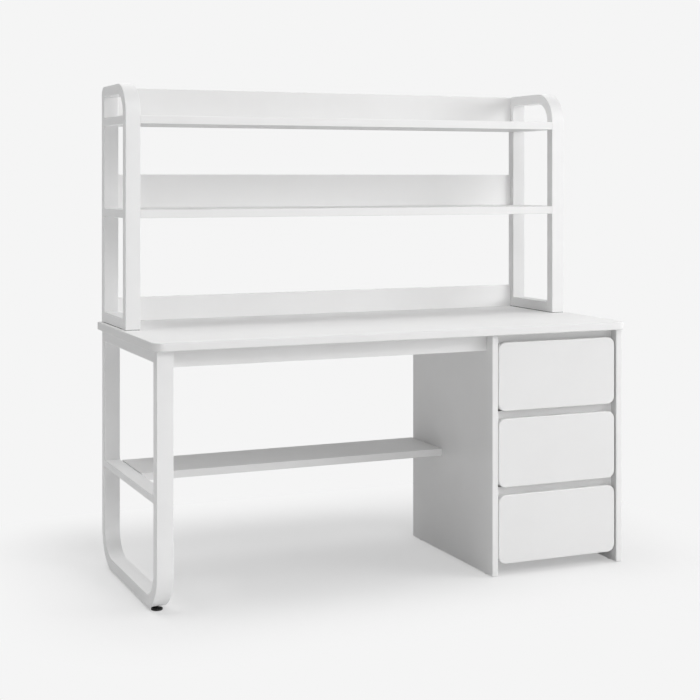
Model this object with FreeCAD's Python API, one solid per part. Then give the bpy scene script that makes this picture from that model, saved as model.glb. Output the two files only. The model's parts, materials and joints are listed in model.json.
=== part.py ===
import FreeCAD, Part
import math
import os

Vector = FreeCAD.Vector

# Desktop
desktop_width = 1500.0
desktop_depth = 624.0
desktop_height = 740.0
desktop_thickness = 23.5
desktop_front_corner_radius = 28.0
desktop_rear_corner_radius = 6.0
desktop_edge_round = 2.5

# Boards
panel_thickness = 19.0
board_edge_round = 1.0

# Frame tubes: a tube's width runs along X, its depth lies in the plane of the frame
leg_tube_width = 47.0
leg_tube_depth = 34.0
hutch_tube_width = 44.5
hutch_tube_depth = 31.0
tube_wall = 1.5
tube_edge_round = 1.5
leg_side_inset = 13.3
hutch_side_inset = 12.0
frame_front_inset = 20.0
frame_rear_inset = 9.0

# Leg frame and levelling feet
leg_bend_radius = 112.0
cross_rail_height = 21.0
cross_rail_drop = 3.0
foot_pad_radius = 16.0
foot_pad_height = 4.5
foot_pad_round = 1.5
foot_gap = 0.3
foot_stud_radius = 4.0
foot_stud_length = 20.0
foot_thread_gap = 0.3
foot_nut_radius = 6.5
foot_nut_height = 12.0
foot_setback = 80.0

# Apron and footrest
apron_height = 50.0
footrest_height = 325.0
footrest_thickness = 22.0
footrest_depth = 214.0
footrest_rear_gap = 29.0

# Pedestal
pedestal_width = 453.5
pedestal_side_inset = 6.5
pedestal_rear_inset = 72.0
pedestal_back_thickness = 12.0
pedestal_back_recess = 4.0
pedestal_back_rise = 60.0
glide_radius = 7.0
glide_height = 3.0
glide_pin_radius = 1.5
glide_pin_length = 10.0
glide_pin_gap = 0.1
glide_setback = 50.0

# Drawer fronts and the finger rails behind their gaps
drawer_names = ("top_drawer", "middle_drawer", "bottom_drawer")
finger_rail_names = ("upper_finger_rail", "middle_finger_rail", "lower_finger_rail")
top_gap = 24.3
drawer_gap = 22.4
toe_space = 34.6
drawer_front_thickness = 16.0
drawer_front_corner_radius = 25.0
drawer_front_edge_round = 3.0
drawer_side_gap = 4.3
drawer_front_recess = 3.2
finger_rail_recess = 27.0
finger_rail_drop = 16.0
finger_rail_clearance = 2.0

# Drawer boxes
box_side_thickness = 12.0
box_rear_gap = 39.0
box_rise = 12.0
box_top_drop = 32.0
box_bottom_thickness = 6.0
box_bottom_rise = 10.0
groove_depth = 5.0
groove_gap = 0.2

# Telescopic slides
slide_space = 12.8
slide_height = 45.0
slide_setback = 4.0
slide_rear_gap = 6.0
slide_rise = 50.0
slide_sheet = 1.2
slide_gap = 0.4
slide_lip = 9.0

# Hutch
hutch_depth = 279.0
hutch_height = 718.0
hutch_bend_radius = 92.0
hutch_rear_corner_radius = 25.0
hutch_pad_thickness = 1.5
hutch_pad_inset = 2.0
lower_shelf_share = 0.4514
upper_shelf_share = 0.8337
shelf_thickness = 24.0
back_panel_thickness = 12.0
upper_panel_drop = 1.0
middle_panel_height = 103.0
lower_panel_height = 73.0

# Fasteners
pin_radius = 3.0
pin_reach = 10.0
pin_gap = 0.1
end_pin_shares = (0.2, 0.8)
apron_pin_shares = (0.1, 0.5, 0.9)
bolt_radius = 3.0
bolt_head_radius = 6.0
bolt_head_height = 4.0
bolt_reach = 14.0
bolt_gap = 0.2
bolt_inset = 10.0
bolt_place_shares = (0.25, 0.65)
screw_radius = 2.5
screw_head_radius = 5.0
screw_head_height = 3.0
screw_bite = 14.0
screw_place_shares = (0.1, 0.35)

# Overrun of every cut past the face that it opens
cut_overrun = 2.0

# Places worked out from the sizes above: origin on the floor under the middle of the desktop
left = -desktop_width / 2
right = desktop_width / 2
front = -desktop_depth / 2
rear = desktop_depth / 2
underside = desktop_height - desktop_thickness

frame_front = front + frame_front_inset
frame_rear = rear - frame_rear_inset
leg_outer = left + leg_side_inset
leg_inner = leg_outer + leg_tube_width
left_frame_outer = left + hutch_side_inset
left_frame_inner = left_frame_outer + hutch_tube_width
right_frame_outer = right - hutch_side_inset
right_frame_inner = right_frame_outer - hutch_tube_width

leg_bottom = foot_pad_height + foot_gap
leg_gap_front = frame_front + leg_tube_depth
leg_gap_rear = frame_rear - leg_tube_depth
foot_front_place = frame_front + foot_setback
foot_rear_place = frame_rear - foot_setback
leg_middle = leg_outer + leg_tube_width / 2
leg_rail_bottom = underside - leg_tube_depth
cross_rail_top = footrest_height - cross_rail_drop
screw_top = underside + screw_bite

pedestal_right = right - pedestal_side_inset
pedestal_left = pedestal_right - pedestal_width
pedestal_rear = frame_rear - pedestal_rear_inset
bay_left = pedestal_left + panel_thickness
bay_right = pedestal_right - panel_thickness
pedestal_back_rear = pedestal_rear - pedestal_back_recess
pedestal_back_front = pedestal_back_rear - pedestal_back_thickness
apron_front = leg_gap_front
footrest_rear = leg_gap_rear - footrest_rear_gap

hutch_front = frame_rear - hutch_depth
hutch_base = desktop_height + hutch_pad_thickness
hutch_top = desktop_height + hutch_height
hutch_gap_front = hutch_front + hutch_tube_depth
hutch_gap_rear = frame_rear - hutch_tube_depth
back_panel_front = frame_rear - back_panel_thickness
bolt_top = desktop_height + bolt_reach
lower_shelf_bottom = desktop_height + hutch_height * lower_shelf_share
upper_shelf_bottom = desktop_height + hutch_height * upper_shelf_share
upper_panel_bottom = upper_shelf_bottom + shelf_thickness
upper_panel_height = hutch_top - upper_panel_drop - upper_panel_bottom

drawer_count = len(drawer_names)
drawer_pitch = (underside - top_gap + drawer_gap - toe_space) / drawer_count
drawer_front_height = drawer_pitch - drawer_gap
drawer_front_left = bay_left + drawer_side_gap
drawer_front_right = bay_right - drawer_side_gap
drawer_front_face = frame_front + drawer_front_recess
box_front = drawer_front_face + drawer_front_thickness
box_rear = pedestal_back_front - box_rear_gap
box_height = drawer_front_height - box_rise - box_top_drop
box_left = bay_left + slide_space
box_right = bay_right - slide_space
finger_rail_front = frame_front + finger_rail_recess
finger_rail_rear = finger_rail_front + panel_thickness


def drawer_top(index):
    """Height of the upper edge of a drawer front, counted from the top drawer."""
    return underside - top_gap - index * drawer_pitch


def block(x_low, x_high, y_low, y_high, z_low, z_high):
    """A plain box between two corners."""
    size = Vector(x_high - x_low, y_high - y_low, z_high - z_low)
    return Part.makeBox(size.x, size.y, size.z, Vector(x_low, y_low, z_low))


def edges_along(shape, axis):
    """The straight edges of a shape that run along an axis."""
    found = []
    for edge in shape.Edges:
        ends = [vertex.Point for vertex in edge.Vertexes]
        if len(ends) == 2 and abs((ends[1] - ends[0]).normalize().dot(axis)) > math.cos(math.radians(1)):
            found.append(edge)
    return found


def board(x_low, x_high, y_low, y_high, z_low, z_high):
    """A flat board with all its edges eased."""
    plain = block(x_low, x_high, y_low, y_high, z_low, z_high)
    return plain.makeFillet(board_edge_round, plain.Edges)


def rod(base, axis, radius, length):
    """A round rod from a base point along an axis."""
    return Part.makeCylinder(radius, length, base, axis)


def share_between(low, high, share):
    """The place that lies a share of the way from low to high."""
    return low + (high - low) * share


def line_inside(points, radius, inset):
    """Edges of the line that runs an inset inside the outer line through points, with rounded bends."""
    directions = [(end - start).normalize() for start, end in zip(points, points[1:])]
    inward = directions[1:] + [directions[-2].negative()]
    bend = radius - inset
    edges = []
    here = points[0] + inward[0] * inset
    for index, corner in enumerate(points[1:-1]):
        before = directions[index]
        after = directions[index + 1]
        turn = corner + (inward[index] + inward[index + 1]) * inset
        first = turn - before * bend
        last = turn + after * bend
        middle = turn + (after - before) * (bend * (1 - math.sqrt(1 / 2)))
        edges.append(Part.LineSegment(here, first).toShape())
        edges.append(Part.Arc(first, middle, last).toShape())
        here = last
    edges.append(Part.LineSegment(here, points[-1] + inward[-1] * inset).toShape())
    return edges


def band(points, radius, near, far):
    """The flat band between two insets inside an outer line."""
    outer = line_inside(points, radius, near)
    inner = line_inside(points, radius, far)
    start_cap = Part.LineSegment(outer[0].Vertexes[0].Point, inner[0].Vertexes[0].Point).toShape()
    end_cap = Part.LineSegment(outer[-1].Vertexes[-1].Point, inner[-1].Vertexes[-1].Point).toShape()
    edges = outer + [end_cap] + inner[::-1] + [start_cap]
    return Part.Face(Part.Wire(Part.__sortEdges__(edges)))


def side_edges(shape, x_low, x_high, end_places):
    """The edges along both sides of a bent tube, without those across its open ends."""
    found = []
    for edge in shape.Edges:
        middle = edge.CenterOfMass
        on_side = min(abs(middle.x - x_low), abs(middle.x - x_high)) < tube_wall / 2
        at_end = min(abs((middle - place).dot(axis)) for place, axis in end_places) < tube_wall / 2
        if on_side and not at_end:
            found.append(edge)
    return found


def bent_tube(x_low, x_high, points, radius, depth):
    """A flat tube bent along an outer line in the YZ plane, open at both ends."""
    first_axis = (points[1] - points[0]).normalize()
    last_axis = (points[-1] - points[-2]).normalize()
    at_side = [Vector(x_low, point.y, point.z) for point in points]
    skin = band(at_side, radius, 0, depth).extrude(Vector(x_high - x_low, 0, 0))
    ends = [(at_side[0], first_axis), (at_side[-1], last_axis)]
    skin = skin.makeFillet(tube_edge_round, side_edges(skin, x_low, x_high, ends))
    longer = [Vector(x_low + tube_wall, point.y, point.z) for point in points]
    longer[0] = longer[0] - first_axis * cut_overrun
    longer[-1] = longer[-1] + last_axis * cut_overrun
    bore = band(longer, radius, tube_wall, depth - tube_wall)
    return skin.cut(bore.extrude(Vector(x_high - x_low - 2 * tube_wall, 0, 0)))


def rail_tube(x_low, x_high, y_low, y_high, z_low, z_high):
    """A straight tube along Y, open at both ends."""
    skin = block(x_low, x_high, y_low, y_high, z_low, z_high)
    skin = skin.makeFillet(tube_edge_round, edges_along(skin, Vector(0, 1, 0)))
    bore = block(
        x_low + tube_wall,
        x_high - tube_wall,
        y_low - cut_overrun,
        y_high + cut_overrun,
        z_low + tube_wall,
        z_high - tube_wall,
    )
    return skin.cut(bore)


def post_profile(x_low, y_low, y_high, z_low, z_high, radius):
    """Side outline of a post whose upper rear corner is round."""
    middle_offset = radius * (1 - math.sqrt(1 / 2))
    foot_front = Vector(x_low, y_low, z_low)
    foot_rear = Vector(x_low, y_high, z_low)
    head_front = Vector(x_low, y_low, z_high)
    bend_start = Vector(x_low, y_high, z_high - radius)
    bend_middle = Vector(x_low, y_high - middle_offset, z_high - middle_offset)
    bend_end = Vector(x_low, y_high - radius, z_high)
    edges = [
        Part.LineSegment(foot_front, foot_rear).toShape(),
        Part.LineSegment(foot_rear, bend_start).toShape(),
        Part.Arc(bend_start, bend_middle, bend_end).toShape(),
        Part.LineSegment(bend_end, head_front).toShape(),
        Part.LineSegment(head_front, foot_front).toShape(),
    ]
    return Part.Face(Part.Wire(edges))


def rear_post(x_low, x_high):
    """The rear post of a hutch frame: a tube closed at its round head and open at its foot."""
    radius = hutch_rear_corner_radius
    outline = post_profile(x_low, hutch_gap_rear, frame_rear, hutch_base, hutch_top, radius)
    skin = outline.extrude(Vector(x_high - x_low, 0, 0))
    foot = [(Vector(x_low, frame_rear, hutch_base), Vector(0, 0, 1))]
    skin = skin.makeFillet(tube_edge_round, side_edges(skin, x_low, x_high, foot))
    hollow = post_profile(
        x_low + tube_wall,
        hutch_gap_rear + tube_wall,
        frame_rear - tube_wall,
        hutch_base - cut_overrun,
        hutch_top - tube_wall,
        radius - tube_wall,
    )
    return skin.cut(hollow.extrude(Vector(x_high - x_low - 2 * tube_wall, 0, 0)))


def end_pin_places(x, low, high, z):
    """Places of the pins across one butt joint, spread along Y."""
    return [(Vector(x, share_between(low, high, share), z), Vector(1, 0, 0)) for share in end_pin_shares]


def pin_at(place, extra):
    """A pin centred on a joint face, or with extra radius its hole."""
    point, axis = place
    return rod(point - axis * (pin_reach + extra), axis, pin_radius + extra, 2 * (pin_reach + extra))


def drilled(shape, places):
    """A shape with the holes of its pins."""
    for place in places:
        shape = shape.cut(pin_at(place, pin_gap))
    return shape


def fastener(place, z_low, z_high, radius, head_radius, head_height):
    """A bolt or screw that stands upright, with its head below z_low."""
    x, y = place
    shank = rod(Vector(x, y, z_low), Vector(0, 0, 1), radius, z_high - z_low)
    head = rod(Vector(x, y, z_low - head_height), Vector(0, 0, 1), head_radius, head_height)
    return shank.fuse(head).removeSplitter()


def bolt(place, z_low):
    """A bolt of the hutch, from its head below z_low up into the base rail."""
    return fastener(place, z_low, bolt_top, bolt_radius, bolt_head_radius, bolt_head_height)


def screw(place):
    """A wood screw of the leg frame, through its top rail into the desktop."""
    return fastener(place, leg_rail_bottom, screw_top, screw_radius, screw_head_radius, screw_head_height)


def upright_holes(shape, places, radius, z_low, z_high):
    """A shape with round holes through it along Z."""
    for x, y in places:
        shape = shape.cut(rod(Vector(x, y, z_low), Vector(0, 0, 1), radius, z_high - z_low))
    return shape


def desktop_board():
    """The desktop with round front corners and eased edges, before its holes."""
    plain = block(left, right, front, rear, underside, desktop_height)
    upright = edges_along(plain, Vector(0, 0, 1))
    front_edges = [edge for edge in upright if edge.CenterOfMass.y < 0]
    cornered = plain.makeFillet(desktop_front_corner_radius, front_edges)
    upright = edges_along(cornered, Vector(0, 0, 1))
    rear_edges = [edge for edge in upright if edge.CenterOfMass.y > rear - board_edge_round]
    cornered = cornered.makeFillet(desktop_rear_corner_radius, rear_edges)
    half = desktop_thickness / 2
    middle = underside + half
    rims = [edge for edge in cornered.Edges if abs(edge.CenterOfMass.z - middle) > half - board_edge_round]
    return cornered.makeFillet(desktop_edge_round, rims)


def leg_hoop():
    """The bent tube of the leg frame: front leg, bottom rail and rear leg, with the holes for the feet."""
    points = [
        Vector(0, frame_front, underside),
        Vector(0, frame_front, leg_bottom),
        Vector(0, frame_rear, leg_bottom),
        Vector(0, frame_rear, underside),
    ]
    hoop = bent_tube(leg_outer, leg_inner, points, leg_bend_radius, leg_tube_depth)
    feet = [(leg_middle, foot_front_place), (leg_middle, foot_rear_place)]
    drill_top = leg_bottom + foot_nut_height
    return upright_holes(hoop, feet, foot_stud_radius + foot_thread_gap, leg_bottom - cut_overrun, drill_top)


def levelling_foot(y):
    """A round pad with a threaded stud, screwed fully in."""
    base = Vector(leg_middle, y, 0)
    pad = rod(base, Vector(0, 0, 1), foot_pad_radius, foot_pad_height)
    rim = [edge for edge in pad.Edges if edge.CenterOfMass.z < foot_pad_round]
    pad = pad.makeFillet(foot_pad_round, rim)
    stud = rod(base, Vector(0, 0, 1), foot_stud_radius, foot_pad_height + foot_stud_length)
    return pad.fuse(stud).removeSplitter()


def foot_nut(y, hoop):
    """The nut inside the bent tube that takes a foot's stud, its lower end shaped to the tube's wall."""
    base = Vector(leg_middle, y, leg_bottom + tube_wall)
    ring = rod(base, Vector(0, 0, 1), foot_nut_radius, foot_nut_height)
    ring = ring.cut(rod(base, Vector(0, 0, 1), foot_stud_radius + foot_thread_gap, foot_nut_height))
    return max(ring.cut(hoop).Solids, key=lambda solid: solid.Volume)


def glide_places():
    """Floor places of the glides, two under each side panel."""
    middles = (pedestal_left + panel_thickness / 2, pedestal_right - panel_thickness / 2)
    return [(x, y) for x in middles for y in (frame_front + glide_setback, pedestal_rear - glide_setback)]


def glide(x, y):
    """A nail-in glide: a disc with a pin."""
    disc = rod(Vector(x, y, 0), Vector(0, 0, 1), glide_radius, glide_height)
    pin = rod(Vector(x, y, 0), Vector(0, 0, 1), glide_pin_radius, glide_height + glide_pin_length)
    return disc.fuse(pin).removeSplitter()


def side_panel(x_low, x_high):
    """A side panel of the pedestal, with the holes for its glides."""
    panel = board(x_low, x_high, frame_front, pedestal_rear, glide_height, underside)
    places = [place for place in glide_places() if x_low < place[0] < x_high]
    pin_hole = glide_pin_radius + glide_pin_gap
    pin_top = glide_height + glide_pin_length + glide_pin_gap
    return upright_holes(panel, places, pin_hole, glide_height - cut_overrun, pin_top)


def finger_rail(index):
    """The recessed rail behind the finger gap above a drawer front."""
    low = drawer_top(index) - finger_rail_drop
    high = underside if index == 0 else drawer_top(index) + drawer_gap - finger_rail_clearance
    return board(bay_left, bay_right, finger_rail_front, finger_rail_rear, low, high)


def finger_rail_pin_places(index):
    """Places of the pins at both ends of a finger rail."""
    box = finger_rail(index).BoundBox
    point_y = (box.YMin + box.YMax) / 2
    point_z = (box.ZMin + box.ZMax) / 2
    return [(Vector(x, point_y, point_z), Vector(1, 0, 0)) for x in (bay_left, bay_right)]


def drawer_front(index):
    """A drawer front with round corners, an eased rim and the groove for the drawer bottom."""
    high = drawer_top(index)
    low = high - drawer_front_height
    plain = block(drawer_front_left, drawer_front_right, drawer_front_face, box_front, low, high)
    cornered = plain.makeFillet(drawer_front_corner_radius, edges_along(plain, Vector(0, 1, 0)))
    seen = drawer_front_face + board_edge_round
    rim = [edge for edge in cornered.Edges if edge.CenterOfMass.y < seen]
    eased = cornered.makeFillet(drawer_front_edge_round, rim)
    return eased.cut(bottom_slot(index))


def bottom_sheet(index, extra):
    """A drawer's bottom, or with extra size the slot that it sits in."""
    low = drawer_top(index) - drawer_front_height + box_rise + box_bottom_rise
    return block(
        box_left + box_side_thickness - groove_depth + groove_gap - extra,
        box_right - box_side_thickness + groove_depth - groove_gap + extra,
        box_front - groove_depth + groove_gap - extra,
        box_rear - box_side_thickness + groove_depth - groove_gap + extra,
        low - extra,
        low + box_bottom_thickness + extra,
    )


def bottom_slot(index):
    """The slot for a drawer's bottom, wider than the sheet by the groove's gap."""
    return bottom_sheet(index, groove_gap)


def drawer_side(index, x_low):
    """A side of a drawer box, grooved for the bottom."""
    low = drawer_top(index) - drawer_front_height + box_rise
    side = board(x_low, x_low + box_side_thickness, box_front, box_rear, low, low + box_height)
    return side.cut(bottom_slot(index))


def drawer_back(index):
    """The back of a drawer box between its sides, grooved for the bottom."""
    low = drawer_top(index) - drawer_front_height + box_rise
    back = board(
        box_left + box_side_thickness,
        box_right - box_side_thickness,
        box_rear - box_side_thickness,
        box_rear,
        low,
        low + box_height,
    )
    return back.cut(bottom_slot(index))


def channel(x_web, way, reach, z_middle, height):
    """A slide member: a web at x_web with two flanges that reach along way, which is 1 or -1."""
    y_low = box_front + slide_setback
    y_high = box_rear - slide_rear_gap
    x_ends = sorted((x_web, x_web + way * reach))
    outer = block(x_ends[0], x_ends[1], y_low, y_high, z_middle - height / 2, z_middle + height / 2)
    x_inner = sorted((x_web + way * slide_sheet, x_web + way * (reach + cut_overrun)))
    hollow = block(
        x_inner[0],
        x_inner[1],
        y_low - cut_overrun,
        y_high + cut_overrun,
        z_middle - height / 2 + slide_sheet,
        z_middle + height / 2 - slide_sheet,
    )
    return outer.cut(hollow)


def slide_members(index):
    """The cabinet, intermediate and drawer members of a drawer's two slides."""
    low = drawer_top(index) - drawer_front_height + box_rise + slide_rise
    middle = low + slide_height / 2
    step = slide_sheet + slide_gap
    members = {"cabinet": [], "intermediate": [], "drawer": []}
    for wall, way in ((bay_left, 1), (bay_right, -1)):
        members["cabinet"].append(channel(wall, way, slide_lip, middle, slide_height))
        middle_web = wall + way * step
        members["intermediate"].append(channel(middle_web, way, slide_lip, middle, slide_height - 2 * step))
        drawer_web = wall + way * slide_space
        drawer_reach = slide_space - 2 * step
        members["drawer"].append(channel(drawer_web, -way, drawer_reach, middle, slide_height - 4 * step))
    return members


def hutch_pad(x_low, x_high, places):
    """The thin pad under one side frame of the hutch, with the holes for its bolts."""
    pad = block(
        x_low + hutch_pad_inset,
        x_high - hutch_pad_inset,
        hutch_front + hutch_pad_inset,
        frame_rear - hutch_pad_inset,
        desktop_height,
        hutch_base,
    )
    return upright_holes(pad, places, bolt_radius + bolt_gap, desktop_height - cut_overrun, bolt_top)


def hutch_shelf(low):
    """A shelf between the side frames, flush with their front and rear faces."""
    return board(left_frame_inner, right_frame_inner, hutch_front, frame_rear, low, low + shelf_thickness)


def hutch_back_panel(low, height):
    """A back panel between the rear posts, flush with their rear faces."""
    return board(left_frame_inner, right_frame_inner, back_panel_front, frame_rear, low, low + height)


def upright_pin_places(x_places, y_places, z):
    """Places of the pins that stand in a joint face at height z."""
    return [(Vector(x, y, z), Vector(0, 0, 1)) for x in x_places for y in y_places]


def joint_pins():
    """Places of the pins of every butt joint, by joint."""
    places = {}
    for shelf, low in (("lower", lower_shelf_bottom), ("upper", upper_shelf_bottom)):
        middle = low + shelf_thickness / 2
        for side, x in (("left", left_frame_inner), ("right", right_frame_inner)):
            places[shelf + "_shelf_" + side] = end_pin_places(x, hutch_gap_front, hutch_gap_rear, middle)
    for panel, (low, height) in panel_spans.items():
        y = (back_panel_front + frame_rear) / 2
        heights = [share_between(low, low + height, share) for share in end_pin_shares]
        for side, x in (("left", left_frame_inner), ("right", right_frame_inner)):
            places[panel + "_" + side] = [(Vector(x, y, z), Vector(1, 0, 0)) for z in heights]
    apron_middle = apron_front + panel_thickness / 2
    for side, x in (("left", leg_inner), ("right", pedestal_left)):
        places["apron_" + side] = [(Vector(x, apron_middle, underside - leg_tube_depth / 2), Vector(1, 0, 0))]
        places["footrest_" + side] = end_pin_places(
            x, footrest_rear - footrest_depth, footrest_rear, cross_rail_top - cross_rail_height / 2
        )
    apron_xs = [share_between(leg_inner, pedestal_left, share) for share in apron_pin_shares]
    places["apron_top"] = upright_pin_places(apron_xs, [apron_middle], underside)
    panel_xs = (pedestal_left + panel_thickness / 2, pedestal_right - panel_thickness / 2)
    panel_ys = [share_between(frame_front, pedestal_rear, share) for share in end_pin_shares]
    places["panel_top"] = upright_pin_places(panel_xs, panel_ys, underside)
    back_middle = (pedestal_back_front + pedestal_back_rear) / 2
    back_heights = [share_between(pedestal_back_rise, underside, share) for share in end_pin_shares]
    for side, x in (("left", bay_left), ("right", bay_right)):
        points = [Vector(x, back_middle, z) for z in back_heights]
        places["pedestal_back_" + side] = [(point, Vector(1, 0, 0)) for point in points]
    for index in range(drawer_count):
        places["rail_" + str(index)] = finger_rail_pin_places(index)
    return places


def save(name, solids):
    """Writes one named piece, or one group of like pieces."""
    shape = solids[0] if len(solids) == 1 else Part.makeCompound(solids)
    shape.exportStep(os.path.join("parts", name + ".step"))


panel_spans = {
    "lower_back_panel": (desktop_height, lower_panel_height),
    "middle_back_panel": (lower_shelf_bottom + shelf_thickness, middle_panel_height),
    "upper_back_panel": (upper_panel_bottom, upper_panel_height),
}

os.makedirs("parts", exist_ok=True)
pins = joint_pins()

# Bolts of the hutch and screws of the leg frame
bolt_ys = [share_between(hutch_front, frame_rear, share) for share in bolt_place_shares]
screw_ys = [share_between(leg_gap_front, leg_gap_rear, share) for share in screw_place_shares]
left_bolts = [(left_frame_inner - bolt_inset, y) for y in bolt_ys]
right_bolts = [(right_frame_inner + bolt_inset, y) for y in bolt_ys]
leg_screws = [(leg_middle, y) for y in screw_ys]
bolts = [bolt(place, leg_rail_bottom) for place in left_bolts]
bolts += [bolt(place, underside) for place in right_bolts]
save("hutch_bolts", bolts)
save("leg_rail_screws", [screw(place) for place in leg_screws])

# Desktop, apron and footrest
desktop = drilled(desktop_board(), pins["apron_top"] + pins["panel_top"])
bolt_hole = bolt_radius + bolt_gap
screw_hole = screw_radius + bolt_gap
desktop = upright_holes(desktop, left_bolts + right_bolts, bolt_hole, underside - cut_overrun, bolt_top)
desktop = upright_holes(desktop, leg_screws, screw_hole, underside - cut_overrun, screw_top + bolt_gap)
save("desktop", [desktop])
apron = board(
    leg_inner,
    pedestal_left,
    apron_front,
    apron_front + panel_thickness,
    underside - apron_height,
    underside,
)
save("front_apron", [drilled(apron, pins["apron_left"] + pins["apron_right"] + pins["apron_top"])])
footrest = board(
    leg_inner,
    pedestal_left,
    footrest_rear - footrest_depth,
    footrest_rear,
    footrest_height - footrest_thickness,
    footrest_height,
)
save("footrest_board", [drilled(footrest, pins["footrest_left"] + pins["footrest_right"])])

# Leg frame and its feet
hoop = leg_hoop()
save("leg_hoop_tube", [hoop])
top_rail = rail_tube(
    leg_outer,
    leg_inner,
    leg_gap_front,
    leg_gap_rear,
    leg_rail_bottom,
    underside,
)
drill_start = leg_rail_bottom - cut_overrun
drill_end = underside + cut_overrun
top_rail = upright_holes(top_rail, left_bolts, bolt_hole, drill_start, drill_end)
top_rail = upright_holes(top_rail, leg_screws, screw_hole, drill_start, drill_end)
save("leg_top_rail", [drilled(top_rail, pins["apron_left"])])
cross_rail = rail_tube(
    leg_outer,
    leg_inner,
    leg_gap_front,
    leg_gap_rear,
    cross_rail_top - cross_rail_height,
    cross_rail_top,
)
save("leg_cross_rail", [drilled(cross_rail, pins["footrest_left"])])
save("leg_foot_nuts", [foot_nut(foot_front_place, hoop), foot_nut(foot_rear_place, hoop)])
save("front_foot", [levelling_foot(foot_front_place)])
save("rear_foot", [levelling_foot(foot_rear_place)])

# Pedestal
rail_pins = [place for index in range(drawer_count) for place in pins["rail_" + str(index)]]
panel_pins = pins["panel_top"] + rail_pins
left_panel_pins = panel_pins + pins["apron_right"] + pins["footrest_right"] + pins["pedestal_back_left"]
right_panel_pins = panel_pins + pins["pedestal_back_right"]
save("pedestal_left_panel", [drilled(side_panel(pedestal_left, bay_left), left_panel_pins)])
save("pedestal_right_panel", [drilled(side_panel(bay_right, pedestal_right), right_panel_pins)])
pedestal_back = board(
    bay_left,
    bay_right,
    pedestal_back_front,
    pedestal_back_rear,
    pedestal_back_rise,
    underside,
)
back_pins = pins["pedestal_back_left"] + pins["pedestal_back_right"]
save("pedestal_back_panel", [drilled(pedestal_back, back_pins)])
save("pedestal_glides", [glide(x, y) for x, y in glide_places()])
for index, name in enumerate(finger_rail_names):
    save(name, [drilled(finger_rail(index), pins["rail_" + str(index)])])

# Drawers and their slides
for index, name in enumerate(drawer_names):
    save(name + "_front", [drawer_front(index)])
    save(name + "_left_side", [drawer_side(index, box_left)])
    save(name + "_right_side", [drawer_side(index, box_right - box_side_thickness)])
    save(name + "_back", [drawer_back(index)])
    save(name + "_bottom", [bottom_sheet(index, 0)])
    for member, solids in slide_members(index).items():
        save(name + "_" + member + "_members", solids)

# Hutch side frames on their pads
left_pad = hutch_pad(left_frame_outer, left_frame_inner, left_bolts)
right_pad = hutch_pad(right_frame_inner, right_frame_outer, right_bolts)
save("hutch_pads", [left_pad, right_pad])
for side, x_low in (("left", left_frame_outer), ("right", right_frame_inner)):
    x_high = x_low + hutch_tube_width
    side_bolts = left_bolts if side == "left" else right_bolts
    arch = [(hutch_front, hutch_base), (hutch_front, hutch_top), (hutch_gap_rear, hutch_top)]
    arch_points = [Vector(0, y, z) for y, z in arch]
    front_tube = bent_tube(x_low, x_high, arch_points, hutch_bend_radius, hutch_tube_depth)
    save("hutch_" + side + "_front_tube", [front_tube])
    post_pins = [place for panel in panel_spans for place in pins[panel + "_" + side]]
    save("hutch_" + side + "_rear_post", [drilled(rear_post(x_low, x_high), post_pins)])
    base_top = hutch_base + hutch_tube_depth
    base_rail = rail_tube(x_low, x_high, hutch_gap_front, hutch_gap_rear, hutch_base, base_top)
    base_rail = upright_holes(base_rail, side_bolts, bolt_hole, desktop_height - cut_overrun, bolt_top)
    save("hutch_" + side + "_base_rail", [base_rail])
    for shelf, low in (("lower", lower_shelf_bottom), ("upper", upper_shelf_bottom)):
        bar = rail_tube(x_low, x_high, hutch_gap_front, hutch_gap_rear, low, low + shelf_thickness)
        save("hutch_" + side + "_" + shelf + "_crossbar", [drilled(bar, pins[shelf + "_shelf_" + side])])

# Hutch shelves and back panels
for shelf, low in (("lower", lower_shelf_bottom), ("upper", upper_shelf_bottom)):
    shelf_pins = pins[shelf + "_shelf_left"] + pins[shelf + "_shelf_right"]
    save(shelf + "_shelf", [drilled(hutch_shelf(low), shelf_pins)])
for panel, (low, height) in panel_spans.items():
    save(panel, [drilled(hutch_back_panel(low, height), pins[panel + "_left"] + pins[panel + "_right"])])

# Pins of all the butt joints
save("dowel_pins", [pin_at(place, 0) for places in pins.values() for place in places])
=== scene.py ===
import json
import math

import bpy
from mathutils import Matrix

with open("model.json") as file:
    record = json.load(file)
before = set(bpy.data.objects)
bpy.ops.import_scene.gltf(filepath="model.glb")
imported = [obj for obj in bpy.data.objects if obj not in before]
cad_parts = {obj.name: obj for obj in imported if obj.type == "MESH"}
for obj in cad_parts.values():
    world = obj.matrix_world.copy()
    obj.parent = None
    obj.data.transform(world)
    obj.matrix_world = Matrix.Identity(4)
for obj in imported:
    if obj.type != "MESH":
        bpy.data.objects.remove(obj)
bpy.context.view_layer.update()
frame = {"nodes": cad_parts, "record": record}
nodes = frame["nodes"]
scene = bpy.context.scene

# Camera, as found from the photograph's straight edges
CAMERA_PLACE = (-1.8081, -3.9636, 1.1822)
CAMERA_YAW_DEG = -22.45
CAMERA_LENS_MM = 73.033
CAMERA_SENSOR_MM = 36.0
CAMERA_SHIFT_X = 0.0562
CAMERA_SHIFT_Y = -0.2465

# Grey of the backdrop as the camera sees it, in linear light
BACKDROP_LEVEL = 0.913

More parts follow.
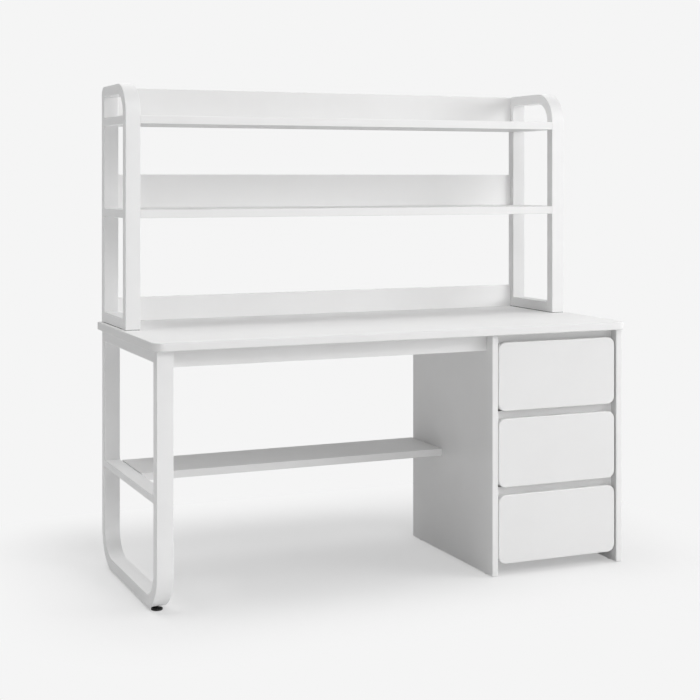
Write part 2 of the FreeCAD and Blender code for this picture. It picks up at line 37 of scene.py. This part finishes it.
# Lamps, all aimed at one point: name, place and disk diameter in metres, power in watts
LAMP_AIM = (0.0, 0.0, 0.7)
LAMPS = (
    ("low_key_lamp", (5.15, -5.15, 2.51), 3.1, 54.0),
    ("side_key_lamp", (6.25, -3.60, 2.76), 3.1, 140.0),
    ("front_lamp", (0.0, -7.09, 6.24), 3.0, 133.0),
    ("top_lamp", (0.0, -0.63, 9.68), 5.0, 51.0),
    ("top_left_lamp", (-2.78, 0.0, 9.26), 5.0, 217.0),
    ("top_rear_lamp", (0.0, 3.80, 8.86), 5.0, 48.0),
    ("top_right_lamp", (4.13, -2.39, 8.33), 5.0, 66.0),
)

# Strength of the sky's light from the left and from the right
SKY_LEFT = 0.20
SKY_RIGHT = 0.54

# Floor: side in metres, grey and the grey's spread
FLOOR_SIZE = 60.0
FLOOR_GREY = 0.86
FLOOR_SPREAD = 0.004

# Share of its own shading that the floor shows in a rectangle under the desk, and the fade's width round that
FLOOR_SHADE = 0.6
SHADE_MIDDLE = (0.03, 0.12, 0.0)
SHADE_HALF = (0.70, 0.34, 0.0)
FADE_WIDTH = 0.5

# Boards: spread of the clouds' grey and of the roughness, drop of the specks' grey, and the tone of the painted shade
# on undersides against the rest
CLOUD_SPREAD = 0.012
ROUGH_SPREAD = 0.05
SPECK_DROP = 0.05
UNDERSIDE_SHADE_SHARE = 0.72

# Greys of the tubes' coat: two of its clouds, its pebbles, the painted shade on its side-turned edges and the painted
# shade on its outer bends
COAT_DARK = 0.87
COAT_PALE = 0.895
COAT_PEBBLE = 0.83
COAT_EDGE_SHADE = 0.87
COAT_BEND_SHADE = 0.70

# Beech of the dowel pins
BEECH_DARK = (0.46, 0.28, 0.14, 1.0)
BEECH_PALE = (0.62, 0.43, 0.25, 1.0)


class Shader:
    """A small helper that builds one node material around a Principled shader."""

    def __init__(self, name):
        self.material = bpy.data.materials.new(name)
        self.material.use_nodes = True
        self.tree = self.material.node_tree
        self.surface = self.tree.nodes["Principled BSDF"]
        self.coords = self.add("ShaderNodeTexCoord").outputs["Object"]

    def add(self, kind, **settings):
        made = self.tree.nodes.new(kind)
        for key, value in settings.items():
            setattr(made, key, value)
        return made

    def link(self, source, target):
        self.tree.links.new(source, target)

    def stretched(self, scale):
        """Object coordinates in metres, stretched along the axes."""
        mapping = self.add("ShaderNodeMapping")
        mapping.inputs["Scale"].default_value = scale
        self.link(self.coords, mapping.inputs["Vector"])
        return mapping.outputs["Vector"]

    def noise(self, scale, detail=2.0, roughness=0.5, vector=None):
        """Noise with about scale grains in a metre."""
        made = self.add("ShaderNodeTexNoise")
        made.inputs["Scale"].default_value = scale
        made.inputs["Detail"].default_value = detail
        made.inputs["Roughness"].default_value = roughness
        self.link(vector or self.coords, made.inputs["Vector"])
        return made.outputs["Fac"]

    def between(self, fac, low, high, fac_low=0.3, fac_high=0.7, way="LINEAR"):
        """A number that goes from low to high as fac does between its own limits."""
        made = self.add("ShaderNodeMapRange", interpolation_type=way)
        made.inputs["From Min"].default_value = fac_low
        made.inputs["From Max"].default_value = fac_high
        made.inputs["To Min"].default_value = low
        made.inputs["To Max"].default_value = high
        self.link(fac, made.inputs["Value"])
        return made.outputs["Result"]

    def mix(self, fac, first, second):
        """A colour between two, each a colour or an output."""
        made = self.add("ShaderNodeMix", data_type="RGBA")
        self.link(fac, made.inputs[0])
        for key, value in ((6, first), (7, second)):
            if isinstance(value, tuple):
                made.inputs[key].default_value = value
            else:
                self.link(value, made.inputs[key])
        return made.outputs[2]

    def math(self, operation, first, second):
        """One sum of two numbers, each a number or an output."""
        made = self.add("ShaderNodeMath", operation=operation)
        for key, value in enumerate((first, second)):
            if isinstance(value, float):
                made.inputs[key].default_value = value
            else:
                self.link(value, made.inputs[key])
        return made.outputs["Value"]

    def normal_part(self, axis):
        """The surface normal's component along an axis."""
        parts = self.add("ShaderNodeSeparateXYZ")
        self.link(self.add("ShaderNodeNewGeometry").outputs["Normal"], parts.inputs["Vector"])
        return parts.outputs[axis]

    def turn(self, part):
        """4 p2 (1 - p2) for a normal's part p: 1 at 45 degrees to the axis, 0 along it and across it."""
        square = self.math("MULTIPLY", part, part)
        rest = self.math("SUBTRACT", 4.0, self.math("MULTIPLY", square, 4.0))
        return self.math("MULTIPLY", square, rest)

    def rim_mask(self, axis, low, high):
        """Between low and high on rounded edges that turn towards an axis, and 0 on the flats."""
        # Patches that break up the painted edge highlight and shade
        edge_patches = self.between(self.noise(35.0, detail=4.0), low, high)
        return self.math("MULTIPLY", self.turn(self.normal_part(axis)), edge_patches)

    def underside_shade_mask(self):
        """1 on faces that look down, and 0 elsewhere."""
        return self.between(self.normal_part("Z"), 1.0, 0.0, fac_low=-0.95, fac_high=-0.6)

    def bend_shade_mask(self):
        """1 where a bend looks half up, and 0 on upright, level and downward faces."""
        return self.turn(self.math("MAXIMUM", self.normal_part("Z"), 0.0))

    def bump(self, height, distance, strength, normal=None):
        made = self.add("ShaderNodeBump")
        made.inputs["Distance"].default_value = distance
        made.inputs["Strength"].default_value = strength
        self.link(height, made.inputs["Height"])
        if normal is not None:
            self.link(normal, made.inputs["Normal"])
        return made.outputs["Normal"]

    def finish(self, colour, roughness=None, normal=None, **plain):
        """The material, with outputs linked to its surface and plain values set on it."""
        self.link(colour, self.surface.inputs["Base Color"])
        if roughness is not None:
            self.link(roughness, self.surface.inputs["Roughness"])
        if normal is not None:
            self.link(normal, self.surface.inputs["Normal"])
        for key, value in plain.items():
            self.surface.inputs[key.replace("_", " ")].default_value = value
        return self.material


def grey(level, warm=0.0):
    return (level + warm, level, level - warm, 1.0)


def lacquered_board(name, level, rim, axis="Z", rough=0.45, shine=0.5):
    """Satin white lacquer: faint clouds and specks, orange peel, painted highlight and shade in patches on the
    rounded rims, and painted shade on faces that look down.
    """
    shader = Shader(name)
    cloud = shader.between(shader.noise(5.0, detail=3.0), 0.0, 1.0)
    speck = shader.between(shader.noise(420.0), 0.0, 0.12)
    base = shader.mix(cloud, grey(level - CLOUD_SPREAD, warm=0.002), grey(level + CLOUD_SPREAD, warm=0.001))
    base = shader.mix(speck, base, grey(level - SPECK_DROP, warm=0.002))
    # Painted highlight and shade on the rounded rims, in patches
    base = shader.mix(shader.rim_mask(axis, 0.5, 1.0), base, grey(rim, warm=0.001))
    # Painted shade on faces that look down
    base = shader.mix(shader.underside_shade_mask(), base, grey(level * UNDERSIDE_SHADE_SHARE, warm=0.001))
    sheen = shader.between(shader.noise(28.0, detail=4.0), rough - ROUGH_SPREAD, rough + ROUGH_SPREAD)
    peel = shader.bump(shader.noise(650.0), distance=0.00006, strength=0.35)
    peel = shader.bump(shader.noise(60.0), distance=0.0002, strength=0.08, normal=peel)
    return shader.finish(base, sheen, peel, Specular_IOR_Level=shine)


def coated_tube():
    """White powder coat on steel: a pebbled skin, painted shade in patches on the edges that turn sideways, and
    painted shade on the outer bends that look half up.
    """
    shader = Shader("coated_tube_look")
    cloud = shader.between(shader.noise(9.0, detail=3.0), 0.0, 1.0)
    pebble = shader.noise(900.0, detail=3.0, roughness=0.6)
    base = shader.mix(cloud, grey(COAT_DARK), grey(COAT_PALE))
    base = shader.mix(shader.between(pebble, 0.0, 0.15), base, grey(COAT_PEBBLE))
    # Painted shade in patches on the edges that turn sideways
    base = shader.mix(shader.rim_mask("X", 0.4, 1.0), base, grey(COAT_EDGE_SHADE))
    # Painted shade on the outer bends that look half up
    base = shader.mix(shader.bend_shade_mask(), base, grey(COAT_BEND_SHADE))
    sheen = shader.between(shader.noise(40.0, detail=3.0), 0.42, 0.54)
    skin = shader.bump(pebble, distance=0.00008, strength=0.45)
    return shader.finish(base, sheen, skin, Specular_IOR_Level=0.3)


def drawer_box_board():
    """Matt white foil on the drawer boxes, with a pressed fine grain along Y."""
    shader = Shader("drawer_box_board_look")
    grain = shader.noise(40.0, detail=5.0, roughness=0.6, vector=shader.stretched((26.0, 1.0, 26.0)))
    base = shader.mix(shader.between(grain, 0.0, 1.0), grey(0.77, warm=0.004), grey(0.82, warm=0.003))
    sheen = shader.between(grain, 0.52, 0.64)
    return shader.finish(base, sheen, shader.bump(grain, distance=0.0002, strength=0.3))


def plated_steel(name, level, stretch):
    """Zinc-plated steel with rolling streaks and darker mottles."""
    shader = Shader(name)
    streak = shader.noise(60.0, detail=4.0, roughness=0.6, vector=shader.stretched(stretch))
    mottle = shader.between(shader.noise(160.0), 0.0, 0.25)
    base = shader.mix(shader.between(streak, 0.0, 1.0), grey(level - 0.06), grey(level + 0.04, warm=-0.004))
    base = shader.mix(mottle, base, grey(level - 0.1))
    sheen = shader.between(streak, 0.28, 0.44)
    return shader.finish(base, sheen, shader.bump(streak, distance=0.0001, strength=0.25), Metallic=1.0)


def foot_plastic():
    """Matt black moulded plastic with a faint mottle."""
    shader = Shader("foot_plastic_look")
    texture = shader.noise(1400.0)
    mottle = shader.between(shader.noise(90.0, detail=3.0), 0.0, 1.0)
    base = shader.mix(mottle, grey(0.006), grey(0.014))
    sheen = shader.between(texture, 0.5, 0.68)
    return shader.finish(base, sheen, shader.bump(texture, distance=0.00008, strength=0.5))


def glide_plastic():
    """Milky nylon of the floor glides, with fine scuffs."""
    shader = Shader("glide_plastic_look")
    scuff = shader.noise(700.0, detail=4.0, roughness=0.65)
    base = shader.mix(shader.between(scuff, 0.0, 1.0), grey(0.70, warm=0.006), grey(0.78, warm=0.004))
    sheen = shader.between(scuff, 0.4, 0.6)
    return shader.finish(base, sheen, shader.bump(scuff, distance=0.0001, strength=0.4))


def pad_rubber():
    """Matt black rubber sheet with a fine press mark."""
    shader = Shader("pad_rubber_look")
    press = shader.noise(900.0, detail=3.0, roughness=0.6)
    base = shader.mix(shader.between(press, 0.0, 1.0), grey(0.018), grey(0.032))
    sheen = shader.between(press, 0.6, 0.8)
    return shader.finish(base, sheen, shader.bump(press, distance=0.0001, strength=0.5))


def dowel_wood():
    """Raw beech with short flecks along X."""
    shader = Shader("dowel_wood_look")
    fleck = shader.noise(220.0, detail=4.0, roughness=0.6, vector=shader.stretched((0.25, 1.0, 1.0)))
    base = shader.mix(shader.between(fleck, 0.0, 1.0), BEECH_DARK, BEECH_PALE)
    sheen = shader.between(fleck, 0.55, 0.75)
    return shader.finish(base, sheen, shader.bump(fleck, distance=0.0002, strength=0.4))


def floor_look():
    """Pale floor that shows a share of its own shading near the desk and the backdrop's grey away from it."""
    shader = Shader("floor_look")
    mottle = shader.between(shader.noise(1.5), 0.0, 1.0)
    base = shader.mix(mottle, grey(FLOOR_GREY - FLOOR_SPREAD), grey(FLOOR_GREY + FLOOR_SPREAD))
    shader.finish(base, Roughness=0.9, Specular_IOR_Level=0.1)
    glow = shader.add("ShaderNodeEmission")
    glow.inputs["Color"].default_value = grey(BACKDROP_LEVEL)
    outside = shader.coords
    steps = (
        ("SUBTRACT", SHADE_MIDDLE),
        ("ABSOLUTE", None),
        ("SUBTRACT", SHADE_HALF),
        ("MAXIMUM", (0.0, 0.0, 0.0)),
    )
    for operation, value in steps:
        step = shader.add("ShaderNodeVectorMath", operation=operation)
        shader.link(outside, step.inputs[0])
        if value is not None:
            step.inputs[1].default_value = value
        outside = step.outputs["Vector"]
    length = shader.add("ShaderNodeVectorMath", operation="LENGTH")
    shader.link(outside, length.inputs[0])
    distance = length.outputs["Value"]
    fade = shader.between(distance, 1.0 - FLOOR_SHADE, 1.0, fac_low=0.0, fac_high=FADE_WIDTH, way="SMOOTHSTEP")
    ray = shader.add("ShaderNodeLightPath").outputs
    seen = shader.math("MAXIMUM", ray["Is Camera Ray"], ray["Is Glossy Ray"])
    seen = shader.math("MAXIMUM", seen, ray["Is Transmission Ray"])
    blend = shader.add("ShaderNodeMixShader")
    shader.link(shader.math("MULTIPLY", fade, seen), blend.inputs["Fac"])
    shader.link(shader.surface.outputs["BSDF"], blend.inputs[1])
    shader.link(glow.outputs["Emission"], blend.inputs[2])
    shader.link(blend.outputs["Shader"], shader.tree.nodes["Material Output"].inputs["Surface"])
    return shader.material


def studio_world():
    """The backdrop's grey to the camera and in reflections, and as light a dimmer sky, brighter on the right."""
    world = bpy.data.worlds.new("studio")
    world.use_nodes = True
    sky = world.node_tree
    add, link = sky.nodes.new, sky.links.new
    light = sky.nodes["Background"]
    light.inputs["Color"].default_value = grey(1.0)
    direction = add("ShaderNodeSeparateXYZ")
    link(add("ShaderNodeTexCoord").outputs["Generated"], direction.inputs["Vector"])
    strength = add("ShaderNodeMapRange")
    strength.inputs["From Min"].default_value = -1.0
    strength.inputs["From Max"].default_value = 1.0
    strength.inputs["To Min"].default_value = SKY_LEFT
    strength.inputs["To Max"].default_value = SKY_RIGHT
    link(direction.outputs["X"], strength.inputs["Value"])
    link(strength.outputs["Result"], light.inputs["Strength"])
    backdrop = add("ShaderNodeBackground")
    backdrop.inputs["Color"].default_value = grey(BACKDROP_LEVEL)
    ray = add("ShaderNodeLightPath").outputs
    seen = ray["Is Camera Ray"]
    for kind in ("Is Glossy Ray", "Is Transmission Ray"):
        either = add("ShaderNodeMath")
        either.operation = "MAXIMUM"
        link(seen, either.inputs[0])
        link(ray[kind], either.inputs[1])
        seen = either.outputs["Value"]
    blend = add("ShaderNodeMixShader")
    link(seen, blend.inputs["Fac"])
    link(light.outputs["Background"], blend.inputs[1])
    link(backdrop.outputs["Background"], blend.inputs[2])
    link(blend.outputs["Shader"], sky.nodes["World Output"].inputs["Surface"])
    return world


def aimed(place, target):
    """The rotation that points an object's -Z axis from a place at a target."""
    along = [b - a for a, b in zip(place, target)]
    flat = math.hypot(along[0], along[1])
    return (math.atan2(flat, -along[2]), 0.0, math.atan2(along[1], along[0]) - math.pi / 2)


def add_lamp(name, place, size, power):
    lamp = bpy.data.lights.new(name, "AREA")
    lamp.shape = "DISK"
    lamp.size = size
    lamp.energy = power
    holder = bpy.data.objects.new(name, lamp)
    holder.location = place
    holder.rotation_euler = aimed(place, LAMP_AIM)
    scene.collection.objects.link(holder)


def photo_camera():
    lens = bpy.data.cameras.new("photo_camera")
    lens.lens = CAMERA_LENS_MM
    lens.sensor_width = CAMERA_SENSOR_MM
    lens.shift_x = CAMERA_SHIFT_X
    lens.shift_y = CAMERA_SHIFT_Y
    camera = bpy.data.objects.new("photo_camera", lens)
    camera.location = CAMERA_PLACE
    camera.rotation_euler = (math.pi / 2, 0.0, math.radians(CAMERA_YAW_DEG))
    scene.collection.objects.link(camera)
    return camera


# A look for each material slot
looks = {
    "lacquered_board": lacquered_board("lacquered_board_look", level=0.85, rim=0.82),
    "coated_tube": coated_tube(),
    "drawer_box_board": drawer_box_board(),
    "slide_steel": plated_steel("slide_steel_look", level=0.62, stretch=(30.0, 1.0, 30.0)),
    "fastener_steel": plated_steel("fastener_steel_look", level=0.55, stretch=(8.0, 8.0, 2.0)),
    "foot_plastic": foot_plastic(),
    "glide_plastic": glide_plastic(),
    "pad_rubber": pad_rubber(),
    "dowel_wood": dowel_wood(),
}

# Copies of the slot's white lacquer, lighter for some boards and darker for others: painted light and shade for how
# light falls on each part, each with its own painted rim tone; the desktop and footrest are also rougher and duller
front_look = lacquered_board("drawer_front_look", level=0.81, rim=0.88, axis="Y")
rail_look = lacquered_board("finger_rail_look", level=0.92, rim=0.94)
carcass_look = lacquered_board("carcass_board_look", level=0.835, rim=0.84)
back_look = lacquered_board("back_panel_look", level=0.95, rim=0.93)
board_looks = {
    "desktop": lacquered_board("desktop_look", level=0.84, rim=0.74, rough=0.65, shine=0.15),
    "footrest_board": lacquered_board("footrest_look", level=0.80, rim=0.83, rough=0.65, shine=0.15),
    "pedestal_left_panel": carcass_look,
    "pedestal_right_panel": carcass_look,
    "lower_back_panel": back_look,
    "middle_back_panel": back_look,
    "upper_back_panel": lacquered_board("upper_panel_look", level=0.79, rim=0.83),
}
for node_name in nodes:
    if node_name.endswith("_drawer_front"):
        board_looks[node_name] = front_look
    if node_name.endswith("_finger_rail"):
        board_looks[node_name] = rail_look

for subpart in frame["record"]["subparts"]:
    node = nodes[subpart["node"]]
    look = board_looks.get(subpart["node"], looks[subpart["material_slot"]])
    if node.material_slots:
        for slot in node.material_slots:
            slot.material = look
    else:
        node.data.materials.append(look)

bpy.ops.mesh.primitive_plane_add(size=FLOOR_SIZE, location=(0.0, 0.0, 0.0))
floor = bpy.context.object
floor.name = "floor"
floor.data.materials.append(floor_look())

scene.world = studio_world()
for lamp_values in LAMPS:
    add_lamp(*lamp_values)
scene.camera = photo_camera()
scene.view_settings.view_transform = "Standard"
